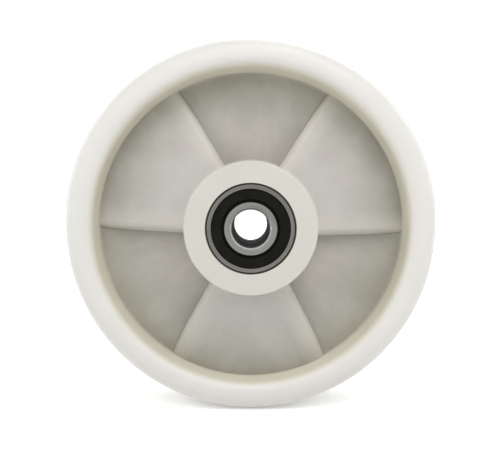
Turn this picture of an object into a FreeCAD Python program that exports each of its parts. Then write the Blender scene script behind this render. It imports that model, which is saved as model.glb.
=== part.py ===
"""Moulded nylon wheel that turns on two sealed ball bearings, held apart by a steel spacer tube.

The wheel's centre is the origin and it spins about +Y. The front of the wheel faces -Y and +Z is up.
All lengths are in millimetres and all angles in degrees.
"""
import FreeCAD
import Part
import math
import os

# Tread and rim
wheel_diameter = 200.0
tread_width = 50.0
tread_corner = 10.0
tread_draft = 0.5
rim_thickness = 17.1
rim_draft = 5.0
rim_edge_round = 5.0

# Hub
hub_diameter = 70.0
hub_length = 60.0
hub_draft = 2.0
hub_edge_round = 0.8
seat_chamfer = 0.4
seat_shoulder = 3.5
bearing_recess = 0.3

# Solid web, with raised sectors on each side that fall from the hub to the rim
web_thickness = 19.0
web_corner_round = 1.0
sector_count = 3
pattern_turn = -1.1
raised_opening = 56.0
raised_side_offset = 5.1
raised_side_draft = 5.0
raised_edge_round = 4.5
raised_hub_height = 8.5
raised_rim_height = 2.0

# Ball bearings
bearing_bore = 20.0
bearing_diameter = 47.0
bearing_width = 14.0
ring_round = 0.9
bore_chamfer = 1.0
ball_diameter = 7.938
ball_count = 8
race_relief = 0.11
race_clearance = 0.05
shoulder_height = 1.5

# Bearing cages
cage_sheet = 0.6
cage_band = 2.5
pocket_clearance = 0.12
rivet_diameter = 1.2
rivet_head_diameter = 2.2
rivet_head_height = 0.5

# Bearing seals
groove_wall = 2.5
groove_snap = 0.15
groove_to_face = 0.5
cage_to_seal = 0.35
seal_face_step = 0.15
seal_bead_width = 0.8
seal_lip_width = 1.3
seal_lip_step = 0.6
seal_lip_thickness = 0.5
lip_land_step = 0.45
lip_clearance = 0.15

# Spacer tube between the inner rings
spacer_clearance = 0.2
spacer_wall = 3.3
spacer_chamfer = 0.4

# Levels and radii that follow from the sizes above
tread_radius = wheel_diameter / 2
web_outer_radius = tread_radius - rim_thickness
web_level = web_thickness / 2
sector_pitch = 360.0 / sector_count
hub_end = hub_length / 2
bearing_centre = hub_end - bearing_recess - bearing_width / 2
spacer_half_length = bearing_centre - bearing_width / 2

bore_radius = bearing_bore / 2
seat_radius = bearing_diameter / 2
ball_radius = ball_diameter / 2
pitch_radius = (bearing_bore + bearing_diameter) / 4
inner_race_bottom = pitch_radius - ball_radius - race_clearance
outer_race_bottom = pitch_radius + ball_radius + race_clearance
race_radius = ball_radius + race_clearance + race_relief
inner_shoulder_radius = inner_race_bottom + shoulder_height
outer_shoulder_radius = outer_race_bottom - shoulder_height
lip_land_radius = inner_shoulder_radius - lip_land_step
groove_radius = seat_radius - groove_wall
ring_end = bearing_width / 2
cage_half_width = ball_radius + pocket_clearance + cage_sheet
seal_inner_side = cage_half_width + cage_to_seal
seal_outer_side = ring_end - groove_to_face

CENTRE = FreeCAD.Vector(0, 0, 0)
AXIS = FreeCAD.Vector(0, 1, 0)


def slope(angle):
    """Rise of a draft angle for each millimetre of depth."""
    return math.tan(math.radians(angle))


def section(corners):
    """Flat face in the XY plane from (radius, along, rounding) corners, each rounded by its own arc."""
    points = [FreeCAD.Vector(radius, along, 0) for radius, along, rounding in corners]
    edges = []
    starts = []
    ends = []
    for index, corner in enumerate(points):
        back = (points[index - 1] - corner).normalize()
        ahead = (points[(index + 1) % len(points)] - corner).normalize()
        rounding = corners[index][2]
        half_angle = back.getAngle(ahead) / 2
        reach = rounding / math.tan(half_angle)
        starts.append(corner + back * reach)
        ends.append(corner + ahead * reach)
        if rounding:
            inward = (back + ahead).normalize()
            middle = corner + inward * (rounding / math.sin(half_angle) - rounding)
            edges.append(Part.Arc(starts[-1], middle, ends[-1]).toShape())
        else:
            edges.append(None)
    outline = []
    for index, arc in enumerate(edges):
        if arc:
            outline.append(arc)
        outline.append(Part.makeLine(ends[index], starts[(index + 1) % len(points)]))
    return Part.Face(Part.Wire(outline))


def turned(corners):
    """Solid turned about the spin axis from a section's corners."""
    return section(corners).revolve(CENTRE, AXIS, 360)


def sleeve(inner_radius, outer_radius, start, end):
    """Plain tube about the spin axis between two places along it."""
    return turned([
        (inner_radius, start, 0),
        (outer_radius, start, 0),
        (outer_radius, end, 0),
        (inner_radius, end, 0),
    ])


def around(shape, angle):
    """Copy of a shape turned about the spin axis, counter-clockwise as seen from the front."""
    copy = shape.copy()
    copy.rotate(CENTRE, AXIS, -angle)
    return copy


def along_axis(shape, distance):
    """Copy of a shape moved along the spin axis."""
    copy = shape.copy()
    copy.translate(AXIS * distance)
    return copy


def other_side(shape):
    """Mirror image of a shape across the wheel's middle plane."""
    return shape.mirror(CENTRE, AXIS)


def wheel_blank():
    """Rim and hub with both bearing seats, joined by the plain web, turned in one piece."""
    tread_edge = tread_width / 2
    tread_edge_radius = tread_radius - tread_edge * slope(tread_draft)
    rim_edge_radius = web_outer_radius + (tread_edge - web_level) * slope(rim_draft)
    hub_root_radius = hub_diameter / 2 + (hub_end - web_level) * slope(hub_draft)
    seat_end = hub_end - bearing_recess - bearing_width
    half = [
        (seat_radius - seat_shoulder, seat_end, 0),
        (seat_radius, seat_end, 0),
        (seat_radius, hub_end - seat_chamfer, 0),
        (seat_radius + seat_chamfer, hub_end, 0),
        (hub_diameter / 2, hub_end, hub_edge_round),
        (hub_root_radius, web_level, web_corner_round),
        (web_outer_radius, web_level, web_corner_round),
        (rim_edge_radius, tread_edge, rim_edge_round),
        (tread_edge_radius, tread_edge, tread_corner),
    ]
    other_half = [(radius, -along, rounding) for radius, along, rounding in reversed(half)]
    parting_line = [(tread_radius, 0, 0)]
    return turned(half + parting_line + other_half)


def raised_level(radius):
    """Level of a raised sector's top, which falls evenly from the hub to the rim."""
    from_hub = (radius - hub_diameter / 2) / (web_outer_radius - hub_diameter / 2)
    return web_level + raised_hub_height + from_hub * (raised_rim_height - raised_hub_height)


def raised_sector():
    """Raised sector of the web's back, with its middle along +X, drafted sides and well rounded edges."""
    lean = slope(raised_side_draft)
    across = section([
        (-tread_radius, 0, 0),
        (raised_side_offset + web_level * lean, 0, 0),
        (raised_side_offset - (hub_end - web_level) * lean, hub_end, 0),
        (-tread_radius, hub_end, 0),
    ])
    across.translate(FreeCAD.Vector(0, 0, -tread_radius))
    bar = across.extrude(FreeCAD.Vector(0, 0, wheel_diameter))
    one_side = around(bar, 90 + raised_opening / 2)
    far_side = one_side.mirror(CENTRE, FreeCAD.Vector(0, 0, 1))
    hub_middle = (seat_radius + hub_diameter / 2) / 2
    rim_middle = (web_outer_radius + tread_radius) / 2
    fall = turned([
        (hub_middle, 0, 0),
        (rim_middle, 0, 0),
        (rim_middle, raised_level(rim_middle), 0),
        (hub_middle, raised_level(hub_middle), 0),
    ])
    sector = one_side.common(far_side).common(fall)
    fall_height = raised_level(hub_middle) - raised_level(rim_middle)
    top_edges = [edge for edge in sector.Edges
                 if edge.BoundBox.YMin > web_level / 2 and edge.BoundBox.YLength > fall_height / 2]
    return sector.makeFillet(raised_edge_round, top_edges)


def nylon_wheel():
    """One moulding whose web has raised sectors on both sides, those of one side between those of the other."""
    first_middle = pattern_turn + sector_pitch / 4
    back_sector = raised_sector()
    front_sector = other_side(back_sector)
    sectors = []
    for index in range(sector_count):
        front_middle = first_middle + index * sector_pitch
        sectors.append(around(front_sector, front_middle))
        sectors.append(around(back_sector, front_middle + sector_pitch / 2))
    return around(wheel_blank(), first_middle).fuse(sectors).removeSplitter()


def inner_ring():
    """Inner ring with its ball race and a lower land at each end for the seal lips."""
    half = [
        (inner_shoulder_radius, seal_inner_side, 0),
        (lip_land_radius, seal_inner_side, 0),
        (lip_land_radius, ring_end, 0),
        (bore_radius + bore_chamfer, ring_end, 0),
        (bore_radius, ring_end - bore_chamfer, 0),
    ]
    other_half = [(radius, -along, rounding) for radius, along, rounding in reversed(half)]
    race = Part.makeTorus(inner_race_bottom + race_radius, race_radius, CENTRE, AXIS)
    return turned(half + other_half).cut(race)


def outer_ring():
    """Outer ring with its ball race and a groove at each end that holds a seal."""
    half = [
        (outer_shoulder_radius, seal_inner_side, 0),
        (groove_radius, seal_inner_side, 0),
        (groove_radius, seal_outer_side, 0),
        (groove_radius - groove_snap, seal_outer_side, 0),
        (groove_radius - groove_snap, ring_end, 0),
        (seat_radius, ring_end, ring_round),
    ]
    other_half = [(radius, -along, rounding) for radius, along, rounding in reversed(half)]
    race = Part.makeTorus(outer_race_bottom - race_radius, race_radius, CENTRE, AXIS)
    return turned(half + other_half).cut(race)


def seal():
    """Rubber seal of the +Y end: bead in the groove, flat face, and a thin lip over the inner ring."""
    lip_radius = lip_land_radius + lip_clearance
    face = seal_outer_side - seal_face_step
    bead_radius = groove_radius - groove_snap - seal_bead_width
    lip_end = face - seal_lip_step
    return turned([
        (groove_radius, seal_inner_side, 0),
        (groove_radius, seal_outer_side, 0),
        (bead_radius, seal_outer_side, 0),
        (bead_radius - seal_face_step, face, 0),
        (lip_radius + seal_lip_width, face, 0),
        (lip_radius + seal_lip_width - seal_lip_step / 2, lip_end, 0),
        (lip_radius, lip_end, 0),
        (lip_radius, lip_end - seal_lip_thickness, 0),
        (lip_radius + seal_lip_width, seal_inner_side, 0),
    ])


def ball_angles():
    """Angle of each ball's place round the bearing."""
    return [index * 360.0 / ball_count for index in range(ball_count)]


def ball(angle, radius):
    """Sphere about one ball's place in the bearing."""
    return around(Part.makeSphere(radius, FreeCAD.Vector(pitch_radius, 0, 0)), angle)


def rivet():
    """One cage rivet with a domed head at each end, between the first two balls."""
    head = rivet_head_diameter / 2
    dome_radius = (head ** 2 + rivet_head_height ** 2) / (2 * rivet_head_height)
    end = cage_sheet + rivet_head_height
    dome = Part.makeCylinder(head, rivet_head_height, AXIS * cage_sheet, AXIS)
    dome = dome.common(Part.makeSphere(dome_radius, AXIS * (end - dome_radius)))
    shank = Part.makeCylinder(rivet_diameter / 2, 2 * cage_sheet, AXIS * -cage_sheet, AXIS)
    whole = shank.fuse([dome, other_side(dome)]).removeSplitter()
    whole.translate(FreeCAD.Vector(pitch_radius, 0, 0))
    return around(whole, 180.0 / ball_count)


def cage_half():
    """Pressed half of the cage on the +Y side: a flat band with a round pocket over every ball."""
    inner = pitch_radius - cage_band / 2
    outer = pitch_radius + cage_band / 2
    pocket = ball_radius + pocket_clearance
    crowns = [ball(angle, pocket + cage_sheet) for angle in ball_angles()]
    hollows = [ball(angle, pocket) for angle in ball_angles()]
    band = sleeve(inner, outer, 0, cage_sheet)
    pressed = band.fuse(crowns).common(sleeve(inner, outer, 0, 2 * cage_half_width)).cut(hollows)
    hole = Part.makeCylinder(rivet_diameter / 2, 2 * cage_sheet, FreeCAD.Vector(pitch_radius, 0, 0), AXIS)
    holes = [around(hole, angle + 180.0 / ball_count) for angle in ball_angles()]
    return pressed.cut(holes).removeSplitter()


def bearing(name, place, outboard):
    """Named pieces of one bearing, moved to its place, with outboard as the sign of its open side."""
    pieces = {
        "inner_ring": inner_ring(),
        "outer_ring": outer_ring(),
        "cage_outer_half": cage_half() if outboard > 0 else other_side(cage_half()),
        "cage_inner_half": other_side(cage_half()) if outboard > 0 else cage_half(),
        "cage_rivets": Part.makeCompound([around(rivet(), angle) for angle in ball_angles()]),
        "outboard_seal": seal() if outboard > 0 else other_side(seal()),
        "inboard_seal": other_side(seal()) if outboard > 0 else seal(),
    }
    for number, angle in enumerate(ball_angles(), 1):
        pieces["ball_%d" % number] = ball(angle, ball_radius)
    return {name + "_" + piece: along_axis(shape, place) for piece, shape in pieces.items()}


def spacer_tube():
    """Steel tube that holds the two inner rings apart."""
    inner = bore_radius + spacer_clearance
    outer = inner + spacer_wall
    return turned([
        (inner, -spacer_half_length, spacer_chamfer),
        (outer, -spacer_half_length, spacer_chamfer),
        (outer, spacer_half_length, spacer_chamfer),
        (inner, spacer_half_length, spacer_chamfer),
    ])


nodes = {"nylon_wheel": nylon_wheel(), "spacer_tube": spacer_tube()}
nodes.update(bearing("front", -bearing_centre, -1))
nodes.update(bearing("rear", bearing_centre, 1))

os.makedirs("parts", exist_ok=True)
for node_name, node_shape in nodes.items():
    node_shape.exportStep("parts/%s.step" % node_name)
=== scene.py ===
"""Looks of a moulded nylon wheel on two sealed ball bearings: finishes, studio light and camera."""
import math

import bpy
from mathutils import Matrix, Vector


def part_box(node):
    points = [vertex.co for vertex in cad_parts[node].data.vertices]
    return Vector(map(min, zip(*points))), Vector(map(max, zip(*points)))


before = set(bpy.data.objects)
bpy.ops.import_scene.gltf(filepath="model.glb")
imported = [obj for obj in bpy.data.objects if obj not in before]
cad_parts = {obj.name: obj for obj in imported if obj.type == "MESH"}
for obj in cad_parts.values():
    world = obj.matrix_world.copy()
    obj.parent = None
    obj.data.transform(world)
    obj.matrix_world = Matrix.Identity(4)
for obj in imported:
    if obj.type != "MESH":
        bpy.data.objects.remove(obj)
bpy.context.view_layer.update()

MM = 0.001

# Places on the wheel that the finishes follow, in metres
wheel_low, wheel_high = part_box("nylon_wheel")
tread_radius = wheel_high[2]
rim_radius = tread_radius - 17.0 * MM
web_fade_radius = 46.0 * MM
web_level = 9.5 * MM
hub_radius = 35.0 * MM
seat_radius = 23.5 * MM
seal_edge_radius = 20.6 * MM
seal_lip_radius = 15.2 * MM
chamfer_radius = 10.9 * MM
bore_radius = 10.0 * MM

# Raised sectors of the web, with straight sides that are set off from the radius
sector_pitch = math.radians(120.0)
first_middle = math.radians(28.9)
half_opening = math.radians(28.0)
side_offset = 5.1 * MM

# Camera in front of the hub, in metres, tipped down
camera_place = (-0.0004, -0.3388, 0.01804)
camera_tilt = math.radians(5.353)


# Small helpers for node trees

def shade(red, green, blue):
    """Colour for a shader socket from the values that it shows on a screen, 0 to 255."""
    def linear(value):
        part = value / 255.0
        return part / 12.92 if part <= 0.04045 else ((part + 0.055) / 1.055) ** 2.4
    return (linear(red), linear(green), linear(blue), 1.0)


def put(tree, kind, **settings):
    """New node of one kind, with its settings."""
    node = tree.nodes.new(kind)
    for name, value in settings.items():
        setattr(node, name, value)
    return node


def feed(tree, source, socket):
    """Give a socket a plain value or the output of another node."""
    if isinstance(source, bpy.types.NodeSocket):
        tree.links.new(source, socket)
    else:
        socket.default_value = source


def calc(tree, operation, *values):
    """Output of a math node that works on sockets or plain numbers."""
    node = put(tree, "ShaderNodeMath", operation=operation)
    for value, socket in zip(values, node.inputs):
        feed(tree, value, socket)
    return node.outputs[0]


def join(tree, *values):
    """Vector from three sockets."""
    node = put(tree, "ShaderNodeCombineXYZ")
    for value, socket in zip(values, node.inputs):
        feed(tree, value, socket)
    return node.outputs[0]


def spread(tree, value, low, high, to_low=0.0, to_high=1.0, shape="SMOOTHSTEP"):
    """Output of a step, smooth or straight, that takes low to to_low and high to to_high."""
    node = put(tree, "ShaderNodeMapRange", interpolation_type=shape)
    for source, name in ((value, "Value"), (low, "From Min"), (high, "From Max"),
                         (to_low, "To Min"), (to_high, "To Max")):
        feed(tree, source, node.inputs[name])
    return node.outputs["Result"]


# Places of the colour sockets on a Mix node
colour_a, colour_b, colour_out = 6, 7, 2


def tint(tree, mask, base, over):
    """Colour that goes from base to over as the mask goes from 0 to 1."""
    node = put(tree, "ShaderNodeMix", data_type="RGBA")
    feed(tree, mask, node.inputs["Factor"])
    feed(tree, base, node.inputs[colour_a])
    feed(tree, over, node.inputs[colour_b])
    return node.outputs[colour_out]


def noise(tree, vector, scale, detail=3.0, roughness=0.5, stretch=(1.0, 1.0, 1.0)):
    """Value of a noise texture, with its pattern stretched along the axes."""
    mapping = put(tree, "ShaderNodeMapping")
    feed(tree, vector, mapping.inputs["Vector"])
    feed(tree, stretch, mapping.inputs["Scale"])
    texture = put(tree, "ShaderNodeTexNoise")
    feed(tree, mapping.outputs["Vector"], texture.inputs["Vector"])
    feed(tree, scale, texture.inputs["Scale"])
    feed(tree, detail, texture.inputs["Detail"])
    feed(tree, roughness, texture.inputs["Roughness"])
    return texture.outputs["Fac"]


def new_group(name, inputs, outputs):
    """Empty node group with number inputs (name: default) and number outputs."""
    group = bpy.data.node_groups.new(name, "ShaderNodeTree")
    for socket_name, value in inputs.items():
        socket = group.interface.new_socket(socket_name, in_out="INPUT", socket_type="NodeSocketFloat")
        socket.default_value = value
    for socket_name in outputs:
        group.interface.new_socket(socket_name, in_out="OUTPUT", socket_type="NodeSocketFloat")
    return group, put(group, "NodeGroupInput"), put(group, "NodeGroupOutput")


def use_group(tree, group, **values):
    """Place a node group in a tree with its own values, underscores standing for spaces."""
    node = put(tree, "ShaderNodeGroup", node_tree=group)
    for name, value in values.items():
        feed(tree, value, node.inputs[name.replace("_", " ")])
    return node


# Effects that the finishes share

def make_wheel_place():
    """Radius from the spin axle, angle round it and place along it, from the object's own coordinates."""
    group, _, out = new_group("Wheel Place", {}, ("Radius", "Angle", "Along"))
    place = put(group, "ShaderNodeTexCoord").outputs["Object"]
    parts = put(group, "ShaderNodeSeparateXYZ")
    feed(group, place, parts.inputs[0])
    x, y, z = parts.outputs
    squares = calc(group, "ADD", calc(group, "MULTIPLY", x, x), calc(group, "MULTIPLY", z, z))
    feed(group, calc(group, "SQRT", squares), out.inputs["Radius"])
    feed(group, calc(group, "ARCTAN2", z, x), out.inputs["Angle"])
    feed(group, y, out.inputs["Along"])
    return group


def make_sector_side():
    """Distance from the side of the nearest raised sector on either face, negative on the sector."""
    group, _, out = new_group("Sector Side", {}, ("Distance",))
    place = use_group(group, wheel_place)
    half_turn = sector_pitch / 2
    turn = calc(group, "SUBTRACT", place.outputs["Angle"], first_middle - half_turn)
    turn = calc(group, "SUBTRACT", calc(group, "FLOORED_MODULO", turn, sector_pitch), half_turn)
    on_back = calc(group, "GREATER_THAN", place.outputs["Along"], 0.0)
    back_shift = calc(group, "MULTIPLY", on_back, half_turn)
    from_middle = calc(group, "SUBTRACT", calc(group, "ABSOLUTE", turn), back_shift)
    from_middle = calc(group, "ABSOLUTE", from_middle)
    across = calc(group, "SINE", calc(group, "SUBTRACT", from_middle, half_opening))
    distance = calc(group, "MULTIPLY", place.outputs["Radius"], across)
    feed(group, calc(group, "SUBTRACT", distance, side_offset), out.inputs["Distance"])
    return group


def make_flow_marks():
    """Soft streaks that run out from the hub, where the melt flowed in the mould."""
    group, inside, out = new_group("Flow Marks", {"Width": 0.16, "Length": 18 * MM}, ("Mark",))
    place = use_group(group, wheel_place)
    sideways = calc(group, "DIVIDE", place.outputs["Angle"], inside.outputs["Width"])
    depth = calc(group, "DIVIDE", place.outputs["Along"], inside.outputs["Length"])
    outwards = calc(group, "DIVIDE", place.outputs["Radius"], inside.outputs["Length"])
    streaks = noise(group, join(group, sideways, depth, outwards), 1.0, detail=4.0, roughness=0.6)
    feed(group, streaks, out.inputs["Mark"])
    return group


def make_turning_lines():
    """Fine lines that a lathe or grinder leaves round the axle, broken up a little along their length."""
    group, inside, out = new_group("Turning Lines", {"Spacing": 0.3 * MM, "Breaks": 1.2}, ("Line",))
    place = use_group(group, wheel_place)
    rows = calc(group, "DIVIDE", place.outputs["Radius"], inside.outputs["Spacing"])
    depth = calc(group, "DIVIDE", place.outputs["Along"], inside.outputs["Spacing"])
    turns = calc(group, "MULTIPLY", place.outputs["Angle"], inside.outputs["Breaks"])
    feed(group, noise(group, join(group, rows, depth, turns), 1.0, detail=2.0), out.inputs["Line"])
    return group


def make_handling_scuffs():
    """Sparse thin scuffs from handling, in two directions."""
    group, inside, out = new_group("Handling Scuffs", {"Size": 20 * MM, "Cover": 0.3}, ("Scuff",))
    place = put(group, "ShaderNodeTexCoord").outputs["Object"]
    scale = calc(group, "DIVIDE", 1.0, inside.outputs["Size"])
    starts = calc(group, "SUBTRACT", 0.72, calc(group, "MULTIPLY", inside.outputs["Cover"], 0.2))
    full = calc(group, "ADD", starts, 0.12)
    thin = (1.0, 1.0, 9.0)
    marks = []
    for turn in (0.6, -0.9):
        turned = put(group, "ShaderNodeMapping")
        feed(group, place, turned.inputs["Vector"])
        feed(group, (0.0, turn, 0.0), turned.inputs["Rotation"])
        streak = noise(group, turned.outputs["Vector"], scale, detail=4.0, stretch=thin)
        marks.append(spread(group, streak, starts, full))
    feed(group, calc(group, "MAXIMUM", *marks), out.inputs["Scuff"])
    return group


def make_moulded_skin():
    """Soft unevenness of a moulded skin, as a mottle for colour and a height for bump."""
    sizes = {"Mottle Size": 20 * MM, "Grain Size": 0.6 * MM}
    group, inside, out = new_group("Moulded Skin", sizes, ("Mottle", "Height"))
    place = put(group, "ShaderNodeTexCoord").outputs["Object"]
    mottle = noise(group, place, calc(group, "DIVIDE", 1.0, inside.outputs["Mottle Size"]))
    grain = noise(group, place, calc(group, "DIVIDE", 1.0, inside.outputs["Grain Size"]), detail=2.0)
    low_grain = calc(group, "MULTIPLY", grain, 0.12)
    feed(group, mottle, out.inputs["Mottle"])
    feed(group, calc(group, "ADD", mottle, low_grain), out.inputs["Height"])
    return group


wheel_place = make_wheel_place()
sector_side = make_sector_side()
flow_marks = make_flow_marks()
turning_lines = make_turning_lines()
handling_scuffs = make_handling_scuffs()
moulded_skin = make_moulded_skin()


# Finishes

def new_finish(name):
    """Empty material with a Principled shader, its tree and that shader."""
    material = bpy.data.materials.new(name)
    material.use_nodes = True
    tree = material.node_tree
    return material, tree, tree.nodes["Principled BSDF"]


def relief(tree, shader, height, depth):
    """Bump of a given depth in metres on a shader."""
    bump = put(tree, "ShaderNodeBump")
    feed(tree, 1.0, bump.inputs["Strength"])
    feed(tree, depth, bump.inputs["Distance"])
    feed(tree, height, bump.inputs["Height"])
    feed(tree, bump.outputs["Normal"], shader.inputs["Normal"])


def web_colour(tree, place):
    """Colour of the web with painted shade, darker on its sunk floor, towards the rim and at the foot of
    the steps, and a painted highlight along the edges of the raised sectors.
    """
    # Sunk floor colours are painted shade, darker than the raised tops, and both darken towards the rim as
    # painted shade under the rim
    sunk_floor_shade_at_hub = shade(177, 173, 165)
    sunk_floor_shade_at_rim = shade(158, 155, 142)
    step_foot_shade = shade(124, 121, 111)
    top_at_hub = shade(193, 189, 184)
    top_shade_at_rim = shade(155, 152, 141)
    edge_highlight = shade(206, 203, 192)
    flow_white = shade(222, 219, 212)
    outwards = spread(tree, place.outputs["Radius"], web_fade_radius, rim_radius, shape="LINEAR")
    beside = use_group(tree, sector_side).outputs["Distance"]
    # Painted shade on the sunk floor at the foot of the steps
    painted_foot_shade = spread(tree, beside, 16 * MM, 0.0, 0.0, 0.27)
    floor_colour = tint(tree, outwards, sunk_floor_shade_at_hub, sunk_floor_shade_at_rim)
    floor_colour = tint(tree, painted_foot_shade, floor_colour, step_foot_shade)
    # Painted highlight with a cream tone along the rounded edges of the raised sectors
    at_edge = spread(tree, beside, -14 * MM, -3 * MM, 0.0, 0.5)
    top_colour = tint(tree, outwards, top_at_hub, top_shade_at_rim)
    top_colour = tint(tree, at_edge, top_colour, edge_highlight)
    # Painted shade: the sunk floor takes the darker colours, the raised tops the lighter ones
    off_middle = calc(tree, "ABSOLUTE", place.outputs["Along"])
    on_top = spread(tree, off_middle, web_level + 0.2 * MM, web_level + 1.6 * MM)
    colour = tint(tree, on_top, floor_colour, top_colour)
    flow = use_group(tree, flow_marks, Width=0.16, Length=18 * MM)
    streaks = spread(tree, flow.outputs["Mark"], 0.4, 0.7, 0.0, 0.13)
    return tint(tree, streaks, colour, flow_white)


def natural_nylon():
    """Milky nylon: whitest in the solid rim, painted olive shade on the wall under it, and dark only at
    the bearing seat, a painted gap shadow with grease.
    """
    material, tree, shader = new_finish("natural_nylon")
    place = use_group(tree, wheel_place)
    colour = web_colour(tree, place)
    # Hub, wall, rim and seat: where each colour starts, where it is full, and the colour; the wall's olive
    # is painted shade, the seat's dark line a painted gap shadow with grease
    rings = (
        (hub_radius + 2.5 * MM, hub_radius, shade(213, 210, 202)),
        # Painted olive shade on the wall under the rim
        (rim_radius - 0.4 * MM, rim_radius + 0.4 * MM, shade(215, 211, 193)),
        (rim_radius + 0.4 * MM, rim_radius + 3.4 * MM, shade(227, 225, 220)),
        # Painted shadow of the gap at the bearing seat, with grease
        (seat_radius + 0.5 * MM, seat_radius + 0.2 * MM, shade(62, 59, 52)),
    )
    for starts, full, ring_colour in rings:
        colour = tint(tree, spread(tree, place.outputs["Radius"], starts, full), colour, ring_colour)
    skin = use_group(tree, moulded_skin, Mottle_Size=30 * MM, Grain_Size=0.7 * MM)
    mottle = skin.outputs["Mottle"]
    colour = tint(tree, spread(tree, mottle, 0.3, 0.7, 0.0, 0.06), colour, shade(240, 238, 232))
    scuff = use_group(tree, handling_scuffs, Size=30 * MM, Cover=0.25).outputs["Scuff"]
    pale_scuff = calc(tree, "MULTIPLY", scuff, 0.06)
    feed(tree, tint(tree, pale_scuff, colour, shade(236, 235, 229)), shader.inputs["Base Color"])
    dull_scuff = calc(tree, "MULTIPLY", scuff, 0.1)
    rough = calc(tree, "ADD", spread(tree, mottle, 0.2, 0.8, 0.40, 0.50), dull_scuff)
    feed(tree, rough, shader.inputs["Roughness"])
    shader.inputs["IOR"].default_value = 1.53
    shader.inputs["Subsurface Weight"].default_value = 0.2
    shader.inputs["Subsurface Radius"].default_value = (1.0, 0.92, 0.72)
    shader.inputs["Subsurface Scale"].default_value = 1.2 * MM
    relief(tree, shader, skin.outputs["Height"], 0.06 * MM)
    return material


def bearing_steel(name, face_colour, edge_shade_colour, edge_low, edge_high):
    """Ground steel with turning lines, painted shade past an edge, polished chamfers and a dull bore
    painted dark as its shade.
    """
    material, tree, shader = new_finish(name)
    radius = use_group(tree, wheel_place).outputs["Radius"]
    fine = use_group(tree, turning_lines, Spacing=0.22 * MM, Breaks=2.0)
    coarse = use_group(tree, turning_lines, Spacing=0.8 * MM, Breaks=0.6)
    both = calc(tree, "ADD", fine.outputs["Line"], coarse.outputs["Line"])
    lines = calc(tree, "MULTIPLY", both, 0.5)
    line_gain = 1.5
    line_colour = tuple(min(1.0, channel * line_gain) for channel in face_colour[:3]) + (1.0,)
    colour = tint(tree, spread(tree, lines, 0.3, 0.7), face_colour, line_colour)
    # Painted shade at the ring's edge by the seal and at the seat's gap, with some dirt on the outer ring
    colour = tint(tree, spread(tree, radius, edge_low, edge_high), colour, edge_shade_colour)
    on_chamfer = spread(tree, radius, chamfer_radius + 0.1 * MM, chamfer_radius - 0.2 * MM)
    colour = tint(tree, on_chamfer, colour, shade(180, 179, 176))
    # Bore painted dark brown and dull, as the shade deep inside it
    in_bore = spread(tree, radius, bore_radius + 0.15 * MM, bore_radius + 0.05 * MM)
    feed(tree, tint(tree, in_bore, colour, shade(46, 43, 37)), shader.inputs["Base Color"])
    polish = calc(tree, "MULTIPLY", on_chamfer, 0.28)
    dullness = calc(tree, "MULTIPLY", in_bore, 0.7)
    rough = calc(tree, "SUBTRACT", spread(tree, lines, 0.3, 0.7, 0.3, 0.42), polish)
    feed(tree, calc(tree, "ADD", rough, dullness), shader.inputs["Roughness"])
    feed(tree, calc(tree, "SUBTRACT", 1.0, in_bore), shader.inputs["Metallic"])
    relief(tree, shader, lines, 0.004 * MM)
    return material


def ball_steel():
    """Polished steel of the balls, with a faint cloud of oil."""
    material, tree, shader = new_finish("ball_steel")
    skin = use_group(tree, moulded_skin, Mottle_Size=4 * MM, Grain_Size=0.4 * MM)
    cloud = spread(tree, skin.outputs["Mottle"], 0.3, 0.7)
    feed(tree, tint(tree, cloud, shade(196, 196, 194), shade(214, 214, 212)), shader.inputs["Base Color"])
    feed(tree, spread(tree, skin.outputs["Mottle"], 0.2, 0.8, 0.06, 0.14), shader.inputs["Roughness"])
    shader.inputs["Metallic"].default_value = 1.0
    return material


def cage_steel():
    """Pressed steel sheet with a dull rolled skin."""
    material, tree, shader = new_finish("cage_steel")
    skin = use_group(tree, moulded_skin, Mottle_Size=5 * MM, Grain_Size=0.3 * MM)
    cloud = spread(tree, skin.outputs["Mottle"], 0.3, 0.7)
    feed(tree, tint(tree, cloud, shade(150, 148, 143), shade(176, 174, 168)), shader.inputs["Base Color"])
    feed(tree, spread(tree, skin.outputs["Mottle"], 0.2, 0.8, 0.34, 0.48), shader.inputs["Roughness"])
    shader.inputs["Metallic"].default_value = 1.0
    relief(tree, shader, skin.outputs["Height"], 0.01 * MM)
    return material


def seal_rubber():
    """Matt black moulded rubber with faint rings from its mould, and painted shade in the grooves at its
    lip and outer edge.
    """
    material, tree, shader = new_finish("seal_rubber")
    lines = use_group(tree, turning_lines, Spacing=0.5 * MM, Breaks=0.4)
    skin = use_group(tree, moulded_skin, Mottle_Size=6 * MM, Grain_Size=0.4 * MM)
    cloud = spread(tree, skin.outputs["Mottle"], 0.3, 0.7)
    face_colour = tint(tree, cloud, shade(16, 16, 13), shade(23, 22, 19))
    radius = use_group(tree, wheel_place).outputs["Radius"]
    # Painted shade in the grooves at the seal's lip and outer edge
    at_lip = spread(tree, radius, seal_lip_radius + 0.6 * MM, seal_lip_radius)
    at_edge = spread(tree, radius, seal_edge_radius - 0.5 * MM, seal_edge_radius)
    groove_shade = calc(tree, "MAXIMUM", at_lip, at_edge)
    feed(tree, tint(tree, groove_shade, face_colour, shade(6, 6, 5)), shader.inputs["Base Color"])
    feed(tree, spread(tree, lines.outputs["Line"], 0.2, 0.8, 0.5, 0.66), shader.inputs["Roughness"])
    shader.inputs["Specular IOR Level"].default_value = 0.08
    height = calc(tree, "ADD", lines.outputs["Line"], skin.outputs["Height"])
    relief(tree, shader, height, 0.01 * MM)
    return material


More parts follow.
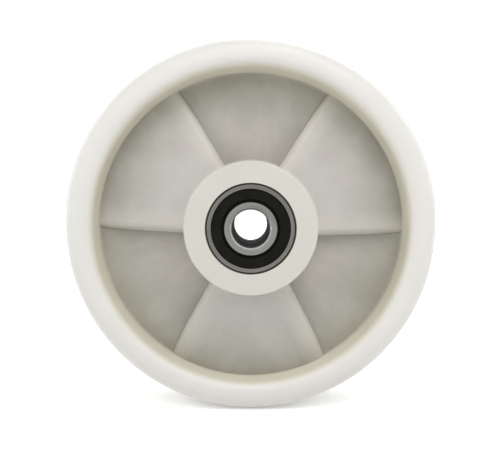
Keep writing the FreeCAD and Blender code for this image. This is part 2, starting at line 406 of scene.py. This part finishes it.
def spacer_steel():
    """Dark drawn tube with a slightly browned skin, painted as dark as the shade deep in the bore."""
    material, tree, shader = new_finish("spacer_steel")
    skin = use_group(tree, moulded_skin, Mottle_Size=6 * MM, Grain_Size=0.5 * MM)
    lines = use_group(tree, turning_lines, Spacing=0.4 * MM, Breaks=2.4)
    cloud = spread(tree, skin.outputs["Mottle"], 0.35, 0.65)
    # Painted shade: the tube's colour is set as dark as the shade deep in the bore
    feed(tree, tint(tree, cloud, shade(42, 39, 33), shade(58, 54, 47)), shader.inputs["Base Color"])
    feed(tree, spread(tree, lines.outputs["Line"], 0.2, 0.8, 0.7, 0.85), shader.inputs["Roughness"])
    shader.inputs["Specular IOR Level"].default_value = 0.2
    relief(tree, shader, skin.outputs["Height"], 0.02 * MM)
    return material


def dress_nodes():
    """Give every piece of the wheel its finish, found by a word in the piece's name."""
    inner = bearing_steel("inner_ring_steel", shade(116, 115, 112), shade(96, 95, 92),
                          edge_low=13.4 * MM, edge_high=13.8 * MM)
    outer = bearing_steel("outer_ring_steel", shade(101, 99, 95), shade(44, 42, 38),
                          edge_low=22.7 * MM, edge_high=23.0 * MM)
    finishes = {
        "nylon_wheel": natural_nylon(),
        "spacer_tube": spacer_steel(),
        "inner_ring": inner,
        "outer_ring": outer,
        "seal": seal_rubber(),
        "cage": cage_steel(),
        "ball": ball_steel(),
    }
    for node_name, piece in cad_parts.items():
        finish = next(finishes[word] for word in finishes if word in node_name)
        piece.data.materials.clear()
        piece.data.materials.append(finish)


dress_nodes()


# Stage, light and camera

def seen_rays(tree):
    """1 for rays that show the background: straight to the camera, mirrored or through glass."""
    rays = put(tree, "ShaderNodeLightPath")
    seen = calc(tree, "MAXIMUM", rays.outputs["Is Camera Ray"], rays.outputs["Is Glossy Ray"])
    return calc(tree, "MAXIMUM", seen, rays.outputs["Is Transmission Ray"])


def floor_finish():
    """Pale floor that reads white in the picture and still takes the wheel's shadow."""
    material, tree, shader = new_finish("pale_floor")
    place = put(tree, "ShaderNodeTexCoord").outputs["Object"]
    cloud = spread(tree, noise(tree, place, 3.0), 0.3, 0.7)
    feed(tree, tint(tree, cloud, shade(249, 249, 248), shade(252, 252, 251)), shader.inputs["Base Color"])
    shader.inputs["Roughness"].default_value = 0.9
    shader.inputs["Specular IOR Level"].default_value = 0.0
    away = put(tree, "ShaderNodeVectorMath", operation="LENGTH")
    feed(tree, place, away.inputs[0])
    # The glow is lower beside the wheel, where the lamps light the floor and the shadow falls
    glow = spread(tree, away.outputs["Value"], 0.3, 1.2, 0.34, 1.0)
    white = put(tree, "ShaderNodeEmission")
    feed(tree, calc(tree, "MULTIPLY", seen_rays(tree), glow), white.inputs["Strength"])
    whiten = put(tree, "ShaderNodeAddShader")
    feed(tree, shader.outputs[0], whiten.inputs[0])
    feed(tree, white.outputs[0], whiten.inputs[1])
    feed(tree, whiten.outputs[0], tree.nodes["Material Output"].inputs["Surface"])
    return material


def make_floor():
    """Wide floor that the wheel stands on."""
    bpy.ops.object.select_all(action="DESELECT")
    bpy.ops.mesh.primitive_circle_add(vertices=96, radius=6.0, fill_type="NGON",
                                      location=(0, 0, wheel_low[2]))
    floor = bpy.context.object
    floor.name = "pale_floor"
    bpy.ops.object.transform_apply(location=True, rotation=True, scale=True)
    floor.data.materials.append(floor_finish())


def make_world():
    """Even pale surroundings that fill the shadows, seen as a white background."""
    world = bpy.data.worlds.new("white_room")
    bpy.context.scene.world = world
    world.use_nodes = True
    tree = world.node_tree
    plain_white = (1.0, 1.0, 1.0, 1.0)
    soft = tree.nodes["Background"]
    soft.inputs["Color"].default_value = plain_white
    towards = put(tree, "ShaderNodeSeparateXYZ")
    feed(tree, put(tree, "ShaderNodeTexCoord").outputs["Generated"], towards.inputs[0])
    brighter_above = spread(tree, towards.outputs["Z"], -0.3, 1.0, 0.07, 0.14)
    feed(tree, brighter_above, soft.inputs["Strength"])
    white = put(tree, "ShaderNodeBackground")
    white.inputs["Color"].default_value = plain_white
    white.inputs["Strength"].default_value = 1.0
    choose = put(tree, "ShaderNodeMixShader")
    feed(tree, seen_rays(tree), choose.inputs["Fac"])
    feed(tree, soft.outputs[0], choose.inputs[1])
    feed(tree, white.outputs[0], choose.inputs[2])
    feed(tree, choose.outputs[0], tree.nodes["World Output"].inputs["Surface"])


def make_softbox(name, place, size, power):
    """Rectangular lamp with a soft face, aimed at the middle of the wheel."""
    lamp = bpy.data.lights.new(name, "AREA")
    lamp.shape = "RECTANGLE"
    lamp.size, lamp.size_y = size
    lamp.energy = power
    holder = bpy.data.objects.new(name, lamp)
    bpy.context.collection.objects.link(holder)
    holder.location = place
    x, y, z = place
    tilt = math.atan2(math.hypot(x, y), z)
    holder.rotation_euler = (tilt, 0.0, math.atan2(y, x) + math.pi / 2)


def make_lights():
    """Softboxes above, at the sides and at the upper corners, in front of the wheel and weaker behind."""
    for name, side, share in (("front", -1.0, 1.02), ("rear", 1.0, 0.8)):
        make_softbox(name + "_top_box", (0.0, side * 0.8, 0.79), (1.2, 0.7), share * 4.4)
        make_softbox(name + "_key_box", (0.18, side * 0.51, 0.94), (0.4, 0.3), share * 2.7)
        make_softbox(name + "_left_box", (-1.0, side * 0.5, 0.25), (0.6, 0.9), share * 3.0)
        make_softbox(name + "_right_box", (1.0, side * 0.5, 0.25), (0.6, 0.9), share * 2.1)
        make_softbox(name + "_upper_left_box", (-0.75, side * 0.5, 0.75), (0.6, 0.6), share * 0.7)
        make_softbox(name + "_upper_right_box", (0.75, side * 0.5, 0.75), (0.6, 0.6), share * 1.1)


def make_camera():
    """Camera in front of the hub, a little above it and tipped down."""
    lens = bpy.data.cameras.new("photo_view")
    lens.sensor_width = 36.0
    lens.lens = 43.0
    lens.shift_y = 0.05
    camera = bpy.data.objects.new("photo_view", lens)
    bpy.context.collection.objects.link(camera)
    camera.location = camera_place
    camera.rotation_euler = (math.pi / 2 - camera_tilt, 0.0, 0.0)
    bpy.context.scene.camera = camera


make_floor()
make_world()
make_lights()
make_camera()
bpy.context.scene.view_settings.view_transform = "Standard"
